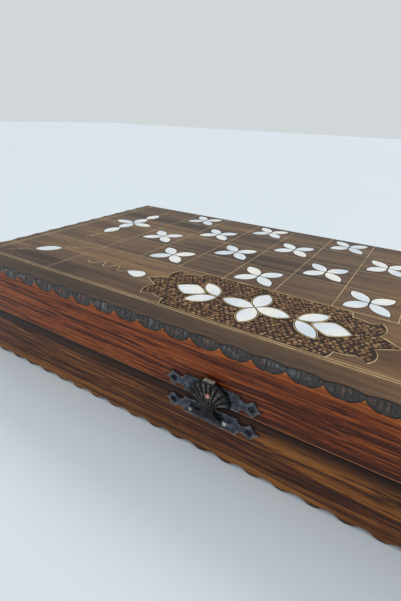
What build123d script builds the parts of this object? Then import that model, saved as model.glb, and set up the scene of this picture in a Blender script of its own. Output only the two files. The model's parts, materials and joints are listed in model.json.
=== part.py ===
from build123d import *
import math
import os

# Folding backgammon board: two walnut trays hinged at the back, closed by a fan latch at the front.
# X runs along the hinge, -Y is the latch side, +Z is up, and the origin is under the middle of the
# closed box. Each half is drawn as the lid, with the seam at height 0, and the base is its mirror.

# Driving dimensions in millimetres: the two halves
board_length = 500.0
half_depth = 250.0
half_height = 42.0
panel_thickness = 10.0
rail_thickness = 14.0
seam_gap = 0.6
seam_chamfer = 0.7
field_board_thickness = 3.0

# Carved edge of each outer panel
lid_front_bead_count = 26
base_front_bead_count = 27
side_bead_count = 13
lid_bead_shallow = 3.0
lid_bead_deep = 7.5
lid_bead_narrow = 0.6
lid_bead_wide = 2.4
base_bead_shallow = 0.4
base_bead_deep = 3.3
base_bead_narrow = 1.0
base_bead_wide = 6.0
base_nose_share = 0.25
carving_drift = 2.8

# Inlay in each outer panel
square = 41.3
square_columns = 8
square_rows = 4
wire_width = 0.5
wire_depth = 0.8
fine_wire_width = 0.5
front_border_inset = 18.3
side_border_inset = 10.3
border_pair_spacing = 2.2
pearl_thickness = 1.2
mastic_line = 0.6
petal_length = 19.8
petal_width = 10.4
petal_start = 1.0
leaf_length = 22.5
leaf_width = 11.6
front_leaf_length = 16.6
front_leaf_centre = 101.1
front_leaf_width = 12.0
curl_radius = 1.7
curl_bends = 6
tail_radius = 3.9
tail_bends = 5

# Cartouche in the front band
cartouche_half_length = 89.5
cartouche_neck_x = 55.0
cartouche_neck_bow = 1.6
cartouche_notch_x = 57.2
cartouche_notch_y = 24.5
cartouche_dip_x = 67.6
cartouche_dip_y = 21.8
cartouche_horn_x = 74.8
cartouche_horn_y = 25.8
cartouche_cheek_x = 78.4
cartouche_cheek_y = 18.0
cartouche_cusp_x = 75.9
cartouche_cusp_y = 9.0
cartouche_lobe_bow = 2.2
cartouche_dip_bow = 1.0
cartouche_recess = 0.5
ring_offset = 1.1
cartouche_petal_length = 21.7
cartouche_petal_width = 10.0
side_petal_reach = 36.6
side_petal_rise = 8.7
side_petal_angle = 43.7
diamond_reach = 49.7
diamond_length = 22.6
diamond_width = 16.9

# Backgammon points inside each tray
points_per_side = 6
point_length = 190.0
point_gap = 1.2
point_depth = 1.0

# Back hinges
hinge_offset = 0.3
hinge_place = 150.0
hinge_length = 40.0
leaf_plate_depth = 11.0
leaf_plate_thickness = 1.2
leaf_parting = 0.15
knuckle_radius = 2.5
knuckle_gap = 0.2
knuckle_count = 5
hinge_pin_radius = 1.2
running_clearance = 0.05
knuckle_clearance = 0.3
screw_shank_radius = 1.1
screw_head_radius = 2.2
screw_head_height = 1.0
screw_length = 9.0
screw_spacing = 14.0

# Front latch
latch_plate_thickness = 1.2
latch_plate_half_length = 32.5
latch_body_half_length = 18.4
latch_plate_half_height = 5.9
latch_eye_place = 26.0
lid_plate_height = 8.0
base_plate_drop = 8.7
eye_radius = 2.1
nail_clearance = 0.1
nail_shank_radius = 0.8
nail_length = 9.0
nail_head_thickness = 0.5
eye_depth = 0.9
hasp_axis_drop = 8.0
hasp_barrel_radius = 1.6
hasp_pin_radius = 0.8
hasp_barrel_half_length = 9.6
hasp_gap = 0.3
latch_knuckle_length = 3.6
hasp_plate_thickness = 1.6
hasp_stand_off = 2.0
hasp_waist = 4.0
hasp_waist_drop = 3.7
hasp_half_width = 13.4
hasp_lip_half_width = 3.9
hasp_height = 26.0
hasp_lip_reach = 2.2
hasp_rib_radius = 0.8
stud_shank_radius = 1.2
stud_head_radius = 1.5
stud_head_height = 1.2
stud_clearance = 0.3

# Places worked out from the driving dimensions
front_y = -half_depth / 2
back_y = half_depth / 2
half_length = board_length / 2
rim_height = seam_gap / 2
panel_seat = half_height - panel_thickness
rail_height = panel_seat - rim_height
inner_length = board_length - 2 * rail_thickness
inner_depth = half_depth - 2 * rail_thickness
field_half_length = square * square_columns / 2
field_front_y = back_y - square * square_rows
side_border_x = half_length - side_border_inset
front_border_y = front_y + front_border_inset
inner_side_border_x = side_border_x - border_pair_spacing
inner_front_border_y = front_border_y + border_pair_spacing
side_motif_x = (field_half_length + inner_side_border_x) / 2
side_motif_y = (field_front_y + back_y) / 2
band_middle_y = (field_front_y + inner_front_border_y) / 2
hinge_axis_y = back_y + hinge_offset
leaf_floor = leaf_parting + leaf_plate_thickness
hasp_axis_out = latch_plate_thickness + hasp_gap + hasp_barrel_radius
stud_height = lid_plate_height
overcut = 1.0


def as_lid(shape):
    """Lift a half drawn about the seam to its place as the lid."""
    return Pos(0, 0, half_height) * shape


def as_base(shape):
    """Turn a half drawn about the seam upside down, as the base."""
    return Pos(0, 0, half_height) * mirror(shape, about=Plane.XY)


PLACE = {"lid": as_lid, "base": as_base}


def block(x0, x1, y0, y1, z0, z1):
    """Box between two corners."""
    return Pos((x0 + x1) / 2, (y0 + y1) / 2, (z0 + z1) / 2) * Box(x1 - x0, y1 - y0, z1 - z0)


def face_of(edges):
    """Flat face inside a closed run of edges, looking up."""
    face = Face(Wire(edges))
    return face if face.normal_at().Z > 0 else -face


def upward(face, height):
    """Solid on a flat face, rising along Z whichever way the face looks."""
    return extrude(face, amount=height, dir=(0, 0, 1))


def inlay(faces, thickness):
    """Separate flat pieces let into the outer surface, flush with it."""
    return [Pos(0, 0, half_height - thickness) * upward(face, thickness) for face in faces]


def group(solids):
    """Separate solids that share one node."""
    return Compound(children=[solid for shape in solids for solid in shape.solids()])


# Outline shapes in plan, turned by an angle in degrees and moved to a place

def placed(face, x, y, angle):
    return Pos(x, y, 0) * Rot(0, 0, angle) * face


def leaf(length, width):
    """Leaf pointed at both ends, lying along X about its middle."""
    tip = length / 2
    side = width / 2
    upper = ThreePointArc((-tip, 0), (0, side), (tip, 0))
    lower = ThreePointArc((tip, 0), (0, -side), (-tip, 0))
    return face_of([upper, lower])


def drop(length, width):
    """Leaf with a point at -X and a round end at +X, about its middle."""
    tip = length / 2
    side = width / 2
    widest = tip - side * 0.8
    upper = ThreePointArc((-tip, 0), ((widest - tip) * 0.62, side * 0.66), (widest, side))
    end = ThreePointArc((widest, side), (tip, 0), (widest, -side))
    lower = ThreePointArc((widest, -side), ((widest - tip) * 0.62, -side * 0.66), (-tip, 0))
    return face_of([upper, end, lower])


def diamond(length, width):
    """Four-cornered leaf with bowed sides, lying along X about its middle."""
    tip = length / 2
    side = width / 2
    bow = 0.58
    corners = [(tip, 0), (0, side), (-tip, 0), (0, -side)]
    edges = []
    for start, end in zip(corners, corners[1:] + corners[:1]):
        middle = ((start[0] + end[0]) * bow, (start[1] + end[1]) * bow)
        edges.append(ThreePointArc(start, middle, end))
    return face_of(edges)


def curl(bends, radius, width):
    """Wavy wire of half rings, running along +X from the origin."""
    sketch = Sketch()
    for k in range(bends):
        side = 1 if k % 2 == 0 else -1
        centre = radius * (2 * k + 1)
        outer = radius + width / 2
        inner = radius - width / 2
        edges = [
            ThreePointArc((centre - outer, 0), (centre, side * outer), (centre + outer, 0)),
            Line((centre + outer, 0), (centre + inner, 0)),
            ThreePointArc((centre + inner, 0), (centre, side * inner), (centre - inner, 0)),
            Line((centre - inner, 0), (centre - outer, 0)),
        ]
        sketch += face_of(edges)
    return sketch


def flower(x, y, length, width, turn):
    """Four petals about a middle: (length, width, x, y, angle) of each."""
    reach = petal_start + length / 2
    petals = []
    for k in range(4):
        angle = turn + 90 * k
        along = math.radians(angle)
        petals.append((length, width, x + reach * math.cos(along), y + reach * math.sin(along), angle))
    return petals


# Layout of the pearl: every petal as (length, width, x, y, angle)

def field_petals(half):
    """Flowers on alternate squares, so that the two halves make one board when unfolded."""
    flowered = 0 if half == "lid" else 1
    petals = []
    for row in range(square_rows):
        for column in range(square_columns):
            if (row + column) % 2 == flowered:
                continue
            x = (column + 0.5) * square - field_half_length
            y = field_front_y + (row + 0.5) * square
            petals += flower(x, y, petal_length, petal_width, 45)
    return petals


def corner_angle():
    """Slope of the corner leaves, along the diagonal of the corner panel."""
    rise = field_front_y - inner_front_border_y
    run = inner_side_border_x - field_half_length
    return math.degrees(math.atan2(rise, run))


def margin_petals():
    """Leaves and flowers of the two side panels and the corners."""
    petals = []
    leaf_reach = petal_start + 1.5 * leaf_length
    for side in (-1, 1):
        petals += flower(side * side_motif_x, side_motif_y, leaf_length, leaf_width, 0)
        for way in (-1, 1):
            y = side_motif_y + way * leaf_reach
            petals.append((leaf_length, leaf_width, side * side_motif_x, y, 90))
        petals.append((leaf_length, leaf_width, side * side_motif_x, band_middle_y, -side * corner_angle()))
    return petals


def cartouche_leaves():
    """Middle flower and the two slanting leaves of each end group."""
    petals = flower(0, band_middle_y, leaf_length, leaf_width, 0)
    for side in (-1, 1):
        for way in (-1, 1):
            x = side * side_petal_reach
            y = band_middle_y + way * side_petal_rise
            angle = side * way * side_petal_angle
            petals.append((cartouche_petal_length, cartouche_petal_width, x, y, angle))
    return petals


def leaf_faces(petals, grow=0.0):
    """Faces of a layout, each grown all round."""
    return [placed(leaf(length + 2 * grow, width + 2 * grow), x, y, angle)
            for length, width, x, y, angle in petals]


def drop_faces(grow=0.0):
    """The two leaves at the ends of the cartouche, pointing outwards."""
    outline = drop(front_leaf_length + 2 * grow, front_leaf_width + 2 * grow)
    left = placed(outline, -front_leaf_centre, band_middle_y, 0)
    right = placed(outline, front_leaf_centre, band_middle_y, 180)
    return [left, right]


def diamond_faces(grow=0.0):
    """The large pointed leaf of each end group."""
    outline = diamond(diamond_length + 2 * grow, diamond_width + 2 * grow)
    return [placed(outline, side * diamond_reach, band_middle_y, 0) for side in (-1, 1)]


# Wires let into the outer panel

def field_wire_boxes():
    """Row wires run through; column wires are cut to fit between them."""
    half = wire_width / 2
    reach = inner_side_border_x - half
    boxes = [(-reach, reach, field_front_y - half, field_front_y + half)]
    for row in range(1, square_rows):
        y = field_front_y + row * square
        boxes.append((-field_half_length - half, field_half_length + half, y - half, y + half))
    for column in range(square_columns + 1):
        x = column * square - field_half_length
        for row in range(square_rows):
            low = field_front_y + row * square + half
            last = row == square_rows - 1
            high = back_y if last else field_front_y + (row + 1) * square - half
            boxes.append((x - half, x + half, low, high))
    for x in (-field_half_length, field_half_length):
        boxes.append((x - half, x + half, inner_front_border_y + half, field_front_y - half))
    return boxes


def border_wire_boxes():
    """Double line along the front and both sides."""
    half = wire_width / 2
    boxes = []
    for x, y in ((side_border_x, front_border_y), (inner_side_border_x, inner_front_border_y)):
        boxes.append((-x - half, x + half, y - half, y + half))
        boxes.append((-x - half, -x + half, y + half, back_y))
        boxes.append((x - half, x + half, y + half, back_y))
    return boxes


def wire_bars(boxes):
    return [block(x0, x1, y0, y1, half_height - wire_depth, half_height) for x0, x1, y0, y1 in boxes]


def curl_faces():
    """Curled wire ends beyond the leaves of the margins."""
    wave = curl(curl_bends, curl_radius, fine_wire_width)
    tail_wave = curl(tail_bends, tail_radius, fine_wire_width)
    clear = leaf_length / 2 + 2 * mastic_line + curl_radius
    beyond = petal_start + 2 * leaf_length + clear - leaf_length / 2
    faces = []
    for side in (-1, 1):
        x = side * side_motif_x
        faces.append(placed(wave, x, side_motif_y + beyond, 90))
        faces.append(placed(wave, x, side_motif_y - beyond, -90))
        slope = math.radians(corner_angle())
        for way in (-1, 1):
            start_x = x + way * side * clear * math.cos(slope)
            start_y = band_middle_y - way * clear * math.sin(slope)
            angle = math.degrees(math.atan2(start_y - band_middle_y, start_x - x))
            faces.append(placed(wave, start_x, start_y, angle))
        tail = front_leaf_centre + front_leaf_length / 2 + 2 * mastic_line
        faces.append(placed(tail_wave, side * tail, band_middle_y, 0 if side > 0 else 180))
    return faces


def cartouche_face(shrink=0.0):
    """Lobed and pointed ground between the field line and the front border."""
    half_width = (field_front_y - inner_front_border_y - wire_width) / 2
    neck_x = cartouche_neck_x - shrink
    point_run = cartouche_half_length - cartouche_cusp_x
    point_slope = math.hypot(point_run, cartouche_cusp_y) / cartouche_cusp_y
    tip = (cartouche_half_length - point_slope * shrink, 0)
    corner = (neck_x, half_width)
    notch = (cartouche_notch_x - shrink, cartouche_notch_y - shrink)
    dip = (cartouche_dip_x - shrink, cartouche_dip_y - shrink)
    horn = (cartouche_horn_x - shrink, cartouche_horn_y - shrink)
    cheek = (cartouche_cheek_x - shrink, cartouche_cheek_y)
    cusp = (cartouche_cusp_x - shrink, cartouche_cusp_y - shrink)
    neck_bow = (neck_x + cartouche_neck_bow, (corner[1] + notch[1]) / 2)
    lobe_bow = ((notch[0] + dip[0]) / 2, dip[1] + cartouche_lobe_bow)
    dip_bow = ((dip[0] + horn[0]) / 2, dip[1] + cartouche_dip_bow)

    def end(side, way):
        """Edges of one quarter, from the long side to the tip."""
        def at(point):
            return (side * point[0], band_middle_y + way * point[1])
        return [
            ThreePointArc(at(corner), at(neck_bow), at(notch)),
            ThreePointArc(at(notch), at(lobe_bow), at(dip)),
            ThreePointArc(at(dip), at(dip_bow), at(horn)),
            ThreePointArc(at(horn), at(cheek), at(cusp)),
            Line(at(cusp), at(tip)),
        ]

    edges = []
    for side in (-1, 1):
        for way in (-1, 1):
            edges += end(side, way)
    for way in (-1, 1):
        y = band_middle_y + way * half_width
        edges.append(Line((-neck_x, y), (neck_x, y)))
    return face_of(edges)


def cartouche_wire_faces():
    """Wire round each end of the cartouche, and a wire round every one of its petals."""
    band = Sketch() + cartouche_face(0.0) - cartouche_face(fine_wire_width)
    ends = band.faces()
    grown = Sketch() + leaf_faces(cartouche_leaves(), ring_offset) + diamond_faces(ring_offset)
    kept = Sketch() + leaf_faces(cartouche_leaves(), ring_offset - fine_wire_width)
    kept += diamond_faces(ring_offset - fine_wire_width)
    return ends + (grown - kept).faces()


# Carved edge

def bead_joints(length, count):
    """Where one bead meets the next, with the slow drift of hand spacing."""
    return [length * k / count + carving_drift * math.sin(math.pi * k / count) for k in range(count + 1)]


def scallops(joints, low, high, nose_share):
    """Face from outside an edge line to a row of scoops inside it, with round noses between them."""
    middle = (low + high) / 2
    edges = []
    nose_start = (joints[0], low)
    for start, end in zip(joints, joints[1:]):
        nose = nose_share * (end - start)
        if nose == 0:
            edges.append(ThreePointArc((start, low), ((start + end) / 2, high), (end, low)))
            continue
        rise = (start + nose, middle)
        fall = (end - nose, middle)
        if start == joints[0]:
            edges.append(Line(nose_start, rise))
        else:
            edges.append(ThreePointArc(nose_start, (start, low), rise))
        edges.append(ThreePointArc(rise, ((start + end) / 2, high), fall))
        if end == joints[-1]:
            edges.append(Line(fall, (end, low)))
        nose_start = fall
    first, last = joints[0], joints[-1]
    edges.append(Line((last, low), (last, -overcut)))
    edges.append(Line((last, -overcut), (first, -overcut)))
    edges.append(Line((first, -overcut), (first, low)))
    return face_of(edges)


def carving_sizes(half):
    """Least and greatest drop, least and greatest inset, and share of each nose."""
    if half == "lid":
        return lid_bead_shallow, lid_bead_deep, lid_bead_narrow, lid_bead_wide, 0
    return base_bead_shallow, base_bead_deep, base_bead_narrow, base_bead_wide, base_nose_share


def edge_cutter(half, length, count):
    """What the carver takes off one edge, which runs along X with the panel behind and below."""
    shallow, deep, narrow, wide, nose_share = carving_sizes(half)
    joints = bead_joints(length, count)
    front = Plane(origin=(0, -overcut, 0), x_dir=(1, 0, 0), z_dir=(0, 1, 0))
    from_front = extrude(front * scallops(joints, shallow, deep, nose_share),
                         amount=wide + 2 * overcut, dir=(0, 1, 0))
    from_top = Pos(0, 0, -deep - overcut) * scallops(joints, narrow, wide, nose_share)
    from_top = upward(from_top, deep + 2 * overcut)
    top_point = (1.5 * wide, deep / 2)
    low_point = (-wide / 2, -1.5 * deep)
    corner = (-wide, deep)
    wedge = Plane.YZ * make_face(Polyline(top_point, low_point, corner, close=True))
    wedge = extrude(wedge, amount=length, dir=(1, 0, 0))
    return from_front & from_top & wedge


def carved_edges(half):
    """Cutters for the front, left and right edges of a half's outer panel."""
    front_count = lid_front_bead_count if half == "lid" else base_front_bead_count
    front = edge_cutter(half, board_length, front_count)
    side = edge_cutter(half, half_depth, side_bead_count)
    return [
        Pos(-half_length, front_y, half_height) * front,
        Pos(-half_length, back_y, half_height) * Rot(0, 0, -90) * side,
        Pos(half_length, front_y, half_height) * Rot(0, 0, 90) * side,
    ]


# Wooden pieces of one half

def outer_panel(half):
    """Board that carries the inlay, carved along three edges."""
    panel = block(-half_length, half_length, front_y, back_y, panel_seat, half_height)
    panel -= carved_edges(half)
    recess = inlay([cartouche_face()], cartouche_recess)
    petals = field_petals(half) + margin_petals() + cartouche_leaves()
    pockets = Sketch() + leaf_faces(petals, mastic_line)
    pockets += diamond_faces(mastic_line) + drop_faces(mastic_line)
    grooves = wire_bars(field_wire_boxes() + border_wire_boxes())
    fine = inlay(curl_faces() + cartouche_wire_faces(), wire_depth)
    cutters = recess + inlay([pockets], pearl_thickness) + grooves + fine
    return panel - cutters


def mitred_rail(length):
    """Rail along X with its outer face at y = 0 and its ends cut at 45 degrees."""
    half = length / 2
    inner = half - rail_thickness
    plan = Polyline((-half, 0), (half, 0), (inner, rail_thickness), (-inner, rail_thickness), close=True)
    rail = upward(Pos(0, 0, rim_height) * make_face(plan), rail_height)
    seam_edge = rail.edges().filter_by(Axis.X).sort_by(Axis.Z)[:2].sort_by(Axis.Y)[0]
    return chamfer(seam_edge, seam_chamfer)


def hinge_relief():
    """Room in a back rail for the hinge plates and knuckles."""
    cuts = []
    for x in (-hinge_place, hinge_place):
        low, high = x - hinge_length / 2, x + hinge_length / 2
        cuts.append(block(low, high, hinge_axis_y - leaf_plate_depth, hinge_axis_y, 0, leaf_floor))
        cove = Rot(0, 90, 0) * Cylinder(knuckle_radius + knuckle_clearance, hinge_length + 2 * knuckle_gap)
        cuts.append(Pos(x, hinge_axis_y, 0) * cove)
        cuts += [Pos(0, 0, leaf_floor) * hole for hole in screw_holes(x, screw_length)]
    return cuts


def screw_places(x):
    y = hinge_axis_y - (leaf_plate_depth + knuckle_radius) / 2
    return [(x + k * screw_spacing, y) for k in (-1, 0, 1)]


def screw_holes(x, depth):
    """Pilot holes below the plate, reaching to the screw's end."""
    length = depth - leaf_plate_thickness
    return [Pos(px, py, length / 2) * Cylinder(screw_shank_radius, length) for px, py in screw_places(x)]


def front_rail():
    return Pos(0, front_y, 0) * mitred_rail(board_length)


def back_rail():
    return Pos(0, back_y, 0) * Rot(0, 0, 180) * mitred_rail(board_length) - hinge_relief()


def side_rail(side):
    turn = -90 if side < 0 else 90
    return Pos(side * half_length, 0, 0) * Rot(0, 0, turn) * mitred_rail(half_depth)


def point_faces(dark):
    """Tapering points from both short ends, alternating in colour."""
    pitch = inner_depth / points_per_side
    base_half = (pitch - point_gap) / 2
    end = inner_length / 2
    faces = []
    for side in (-1, 1):
        for k in range(points_per_side):
            shade = (k + (side > 0)) % 2
            if shade != dark:
                continue
            y = -inner_depth / 2 + (k + 0.5) * pitch
            tip = side * (end - point_length)
            corners = Polyline((side * end, y - base_half), (side * end, y + base_half), (tip, y), close=True)
            faces.append(make_face(corners).face())
    return faces


def field_board_level():
    return panel_seat - field_board_thickness


def point_pieces(dark):
    """Veneer points let into the playing face of the tray floor."""
    return [Pos(0, 0, field_board_level()) * upward(face, point_depth) for face in point_faces(dark)]


def field_board():
    """Thin board on the tray floor, with a shallow bed for every point."""
    level = field_board_level()
    board = block(-inner_length / 2, inner_length / 2, -inner_depth / 2, inner_depth / 2, level, panel_seat)
    return board - point_pieces(0) - point_pieces(1)


# Hinges: the pin's axis is the seam at the back

def knuckle_spans():
    """Start and end of each knuckle along the hinge."""
    step = hinge_length / knuckle_count
    start = -hinge_length / 2
    return [(start + k * step + knuckle_gap / 2, start + (k + 1) * step - knuckle_gap / 2)
            for k in range(knuckle_count)]


def x_cylinder(radius, x0, x1):
    """Cylinder along X between two places, on the axis."""
    return Pos((x0 + x1) / 2, 0, 0) * Rot(0, 90, 0) * Cylinder(radius, x1 - x0)


def hinge_leaf(first):
    """Hinge plate with every second knuckle, drawn about the pin for the lid side."""
    plate = block(-hinge_length / 2, hinge_length / 2, -leaf_plate_depth, 0, leaf_parting, leaf_floor)
    for k, (x0, x1) in enumerate(knuckle_spans()):
        if k % 2 == first:
            plate += x_cylinder(knuckle_radius, x0, x1)
        else:
            plate -= x_cylinder(knuckle_radius + knuckle_clearance, x0 - knuckle_gap, x1 + knuckle_gap)
    bore = hinge_pin_radius + (running_clearance if first else 0.0)
    plate -= x_cylinder(bore, -hinge_length, hinge_length)
    for px, py in screw_places(0):
        sink = screw_head(running_clearance)
        plate -= Pos(px, py - hinge_axis_y, leaf_parting) * sink
    return plate


def screw_head(grow):
    """Countersunk head and the start of its shank, pointing up from the plate's open face."""
    head = Cone(screw_head_radius + grow, screw_shank_radius + grow, screw_head_height)
    neck = Cylinder(screw_shank_radius + grow, leaf_plate_thickness)
    return Pos(0, 0, screw_head_height / 2) * head + Pos(0, 0, leaf_plate_thickness / 2) * neck


def hinge_screws():
    """Screws of both hinges in one half."""
    screws = []
    for x in (-hinge_place, hinge_place):
        for px, py in screw_places(x):
            shank = Pos(0, 0, screw_length / 2) * Cylinder(screw_shank_radius, screw_length)
            screws.append(Pos(px, py, leaf_parting) * (screw_head(0.0) + shank))
    return screws


def hinge_part(shape, side):
    return Pos(side * hinge_place, hinge_axis_y, 0) * shape


# Latch: drawn in its own plane, with x along the board, y up from the seam, z outwards

def latch_frame():
    """Plane of the front face with its origin on the seam."""
    return Plane(origin=(0, front_y, half_height), x_dir=(1, 0, 0), z_dir=(0, -1, 0))


def on_front(shape):
    return latch_frame().location * shape


def latch_plate():
    """Plate with ogee shoulders and a pointed eye at each end, about its middle."""
    body, tall = latch_body_half_length, latch_plate_half_height
    eye, tip = latch_eye_place, latch_plate_half_length
    arm = eye - body
    beak = tip - eye
    neck = body + 0.42 * arm
    barb = eye + 0.49 * beak

    def quarter(side, way):
        def at(x, y):
            return (side * x, way * y)
        return [
            Line(at(0, tall), at(body, tall)),
            ThreePointArc(at(body, tall), at(body + 0.09 * arm, tall * 0.62), at(neck, tall * 0.44)),
            ThreePointArc(at(neck, tall * 0.44), at(body + 0.74 * arm, tall * 0.55), at(eye, tall * 0.9)),
            ThreePointArc(at(eye, tall * 0.9), at(eye + 0.34 * beak, tall * 0.62), at(barb, tall * 0.34)),
            ThreePointArc(at(barb, tall * 0.34), at(eye + 0.69 * beak, tall * 0.13), at(tip, 0)),
        ]

    edges = []
    for side in (-1, 1):
        for way in (-1, 1):
            edges += quarter(side, way)
    plate = upward(face_of(edges), latch_plate_thickness)
    for side in (-1, 1):
        plate -= Pos(side * eye, 0, latch_plate_thickness) * Cylinder(eye_radius, 2 * eye_depth)
        plate -= Pos(side * eye, 0, 0) * Cylinder(nail_shank_radius, 4 * latch_plate_thickness)
    return plate


def nail():
    """Nail whose head lies sunk in the eye of a plate."""
    head_level = latch_plate_thickness - eye_depth
    head = Cylinder(eye_radius - nail_clearance, nail_head_thickness)
    head = Pos(0, 0, head_level + nail_head_thickness / 2) * head
    reach = nail_length + head_level
    shank = Pos(0, 0, head_level - reach / 2) * Cylinder(nail_shank_radius, reach)
    return head + shank


def nails(height):
    return [on_front(Pos(side * latch_eye_place, height, 0) * nail()) for side in (-1, 1)]


def hasp_outline():
    """Fan of the hasp, from its barrel up to the lobed rim, about the hinge pin."""
    wide, lip, top = hasp_half_width, hasp_lip_half_width, hasp_height
    waist_y = hasp_axis_drop - hasp_waist_drop
    fan = top - waist_y
    side_points = [
        (hasp_barrel_half_length, 0.0),
        (hasp_waist, waist_y),
        (wide, waist_y + 0.40 * fan),
        (wide * 0.955, waist_y + 0.58 * fan),
        (wide * 0.76, waist_y + 0.737 * fan),
        (wide * 0.493, waist_y + 0.885 * fan),
        (lip, waist_y + 0.955 * fan),
        (lip, top),
    ]
    bulges = [
        (hasp_waist * 1.3, waist_y * 0.63),
        (hasp_waist * 1.65, waist_y + 0.24 * fan),
        (wide * 1.045, waist_y + 0.50 * fan),
        (wide * 0.918, waist_y + 0.69 * fan),
        (wide * 0.687, waist_y + 0.857 * fan),
        (lip * 1.41, waist_y + 0.99 * fan),
    ]
    edges = [Line((-lip, top), (lip, top)), Line((-hasp_barrel_half_length, 0), (hasp_barrel_half_length, 0))]
    for side in (-1, 1):
        def at(point):
            return (side * point[0], point[1])
        for start, bulge, end in zip(side_points, bulges, side_points[1:]):
            edges.append(ThreePointArc(at(start), at(bulge), at(end)))
        edges.append(Line(at(side_points[-2]), at(side_points[-1])))
    return face_of(edges)


def hasp():
    """Fan plate with raised ribs, a barrel round the pin and a lip for the thumb."""
    back = hasp_stand_off - hasp_axis_out
    fan = Pos(0, 0, back) * upward(hasp_outline(), hasp_plate_thickness)
    barrel = x_cylinder(hasp_barrel_radius, -hasp_barrel_half_length, hasp_barrel_half_length)
    lip_top = back + hasp_plate_thickness + hasp_lip_reach
    lip = block(-hasp_lip_half_width, hasp_lip_half_width, hasp_height - hasp_plate_thickness, hasp_height,
                back, lip_top)
    shape = fan + barrel + lip
    root_y = hasp_axis_drop - hasp_waist_drop
    rib_length = 0.7 * (hasp_height - root_y)
    rib_level = back + hasp_plate_thickness - hasp_rib_radius / 4
    rib = Cylinder(hasp_rib_radius, rib_length, align=(Align.CENTER, Align.CENTER, Align.MIN))
    for angle in (-62, -42, -22, 22, 42, 62):
        shape += Pos(0, root_y, rib_level) * Rot(0, 0, -angle) * Rot(-90, 0, 0) * rib
    shape -= x_cylinder(hasp_pin_radius + running_clearance, -half_length, half_length)
    hole = Cylinder(stud_head_radius + stud_clearance, 8 * hasp_plate_thickness)
    shape -= Pos(0, hasp_axis_drop + stud_height, 0) * hole
    return shape


def at_hasp_axis(shape):
    return on_front(Pos(0, -hasp_axis_drop, hasp_axis_out) * shape)


def lid_latch_plate():
    """Upper plate, bored in the middle for the stud."""
    bore = Cylinder(stud_shank_radius, 4 * latch_plate_thickness)
    return on_front(Pos(0, lid_plate_height, 0) * (latch_plate() - bore))


def latch_knuckle_spans():
    inner = hasp_barrel_half_length + hasp_gap
    return [(-inner - latch_knuckle_length, -inner), (inner, inner + latch_knuckle_length)]


def base_latch_plate():
    """Lower plate with the two knuckles that hold the hasp's pin."""
    plate = Pos(0, -base_plate_drop, 0) * latch_plate()
    for x0, x1 in latch_knuckle_spans():
        ring = x_cylinder(hasp_barrel_radius, x0, x1)
        foot = block(x0, x1, -hasp_barrel_radius, hasp_barrel_radius, -hasp_axis_out, 0)
        bored = ring + foot - x_cylinder(hasp_pin_radius, x0 - overcut, x1 + overcut)
        plate += Pos(0, -hasp_axis_drop, hasp_axis_out) * bored
    return on_front(plate)


def hasp_pin():
    reach = hasp_barrel_half_length + hasp_gap + latch_knuckle_length
    return at_hasp_axis(x_cylinder(hasp_pin_radius, -reach, reach))


def stud():
    """Headed stud through the upper plate, which the fan snaps over."""
    top = hasp_stand_off + hasp_plate_thickness + 2 * hasp_rib_radius
    shank = Pos(0, 0, top / 2) * Cylinder(stud_shank_radius, top)
    head = Pos(0, 0, top - stud_head_height / 2) * Cylinder(stud_head_radius, stud_head_height)
    return on_front(Pos(0, stud_height, 0) * (shank + head))


def nail_bores(height):
    """Bores in a front rail for its two latch nails."""
    bore = Cylinder(nail_shank_radius, nail_length)
    return [on_front(Pos(side * latch_eye_place, height, -nail_length / 2) * bore) for side in (-1, 1)]


def build():
    """Every named node of the board."""
    nodes = {}
    for half, place in PLACE.items():
        nail_height = lid_plate_height if half == "lid" else -base_plate_drop
        nodes[half + "_outer_panel"] = place(outer_panel(half))
        nodes[half + "_front_rail"] = place(front_rail()) - nail_bores(nail_height)
        nodes[half + "_back_rail"] = place(back_rail())
        nodes[half + "_left_rail"] = place(side_rail(-1))
        nodes[half + "_right_rail"] = place(side_rail(1))
        nodes[half + "_field_board"] = place(field_board())
        nodes[half + "_light_points"] = place(group(point_pieces(0)))
        nodes[half + "_dark_points"] = place(group(point_pieces(1)))
        pearl = {
            "field_petals": leaf_faces(field_petals(half)),
            "margin_petals": leaf_faces(margin_petals()) + drop_faces(),
            "cartouche_petals": leaf_faces(cartouche_leaves()) + diamond_faces(),
        }
        for name, faces in pearl.items():
            nodes[half + "_" + name] = place(group(inlay(faces, pearl_thickness)))
        nodes[half + "_field_wires"] = place(group(wire_bars(field_wire_boxes())))
        nodes[half + "_border_wires"] = place(group(wire_bars(border_wire_boxes())))
        nodes[half + "_curl_wires"] = place(group(inlay(curl_faces(), wire_depth)))
        nodes[half + "_cartouche_wires"] = place(group(inlay(cartouche_wire_faces(), wire_depth)))
        nodes[half + "_hinge_screws"] = place(group(hinge_screws()))
        nodes[half + "_latch_nails"] = group(nails(nail_height))
        for side, name in ((-1, "left"), (1, "right")):
            leaf_plate = hinge_leaf(1 if half == "lid" else 0)
            nodes[name + "_hinge_" + half + "_leaf"] = place(hinge_part(leaf_plate, side))
    for side, name in ((-1, "left"), (1, "right")):
        pin = x_cylinder(hinge_pin_radius, -hinge_length / 2, hinge_length / 2)
        nodes[name + "_hinge_pin"] = as_lid(hinge_part(pin, side))
    nodes["lid_latch_plate"] = lid_latch_plate()
    nodes["base_latch_plate"] = base_latch_plate()
    nodes["latch_stud"] = stud()
    nodes["hasp"] = at_hasp_axis(hasp())
    nodes["hasp_pin"] = hasp_pin()
    return nodes


os.makedirs("parts", exist_ok=True)
for node_name, node_shape in build().items():
    export_step(node_shape, "parts/" + node_name + ".step")
    print(node_name, len(node_shape.solids()))
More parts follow.
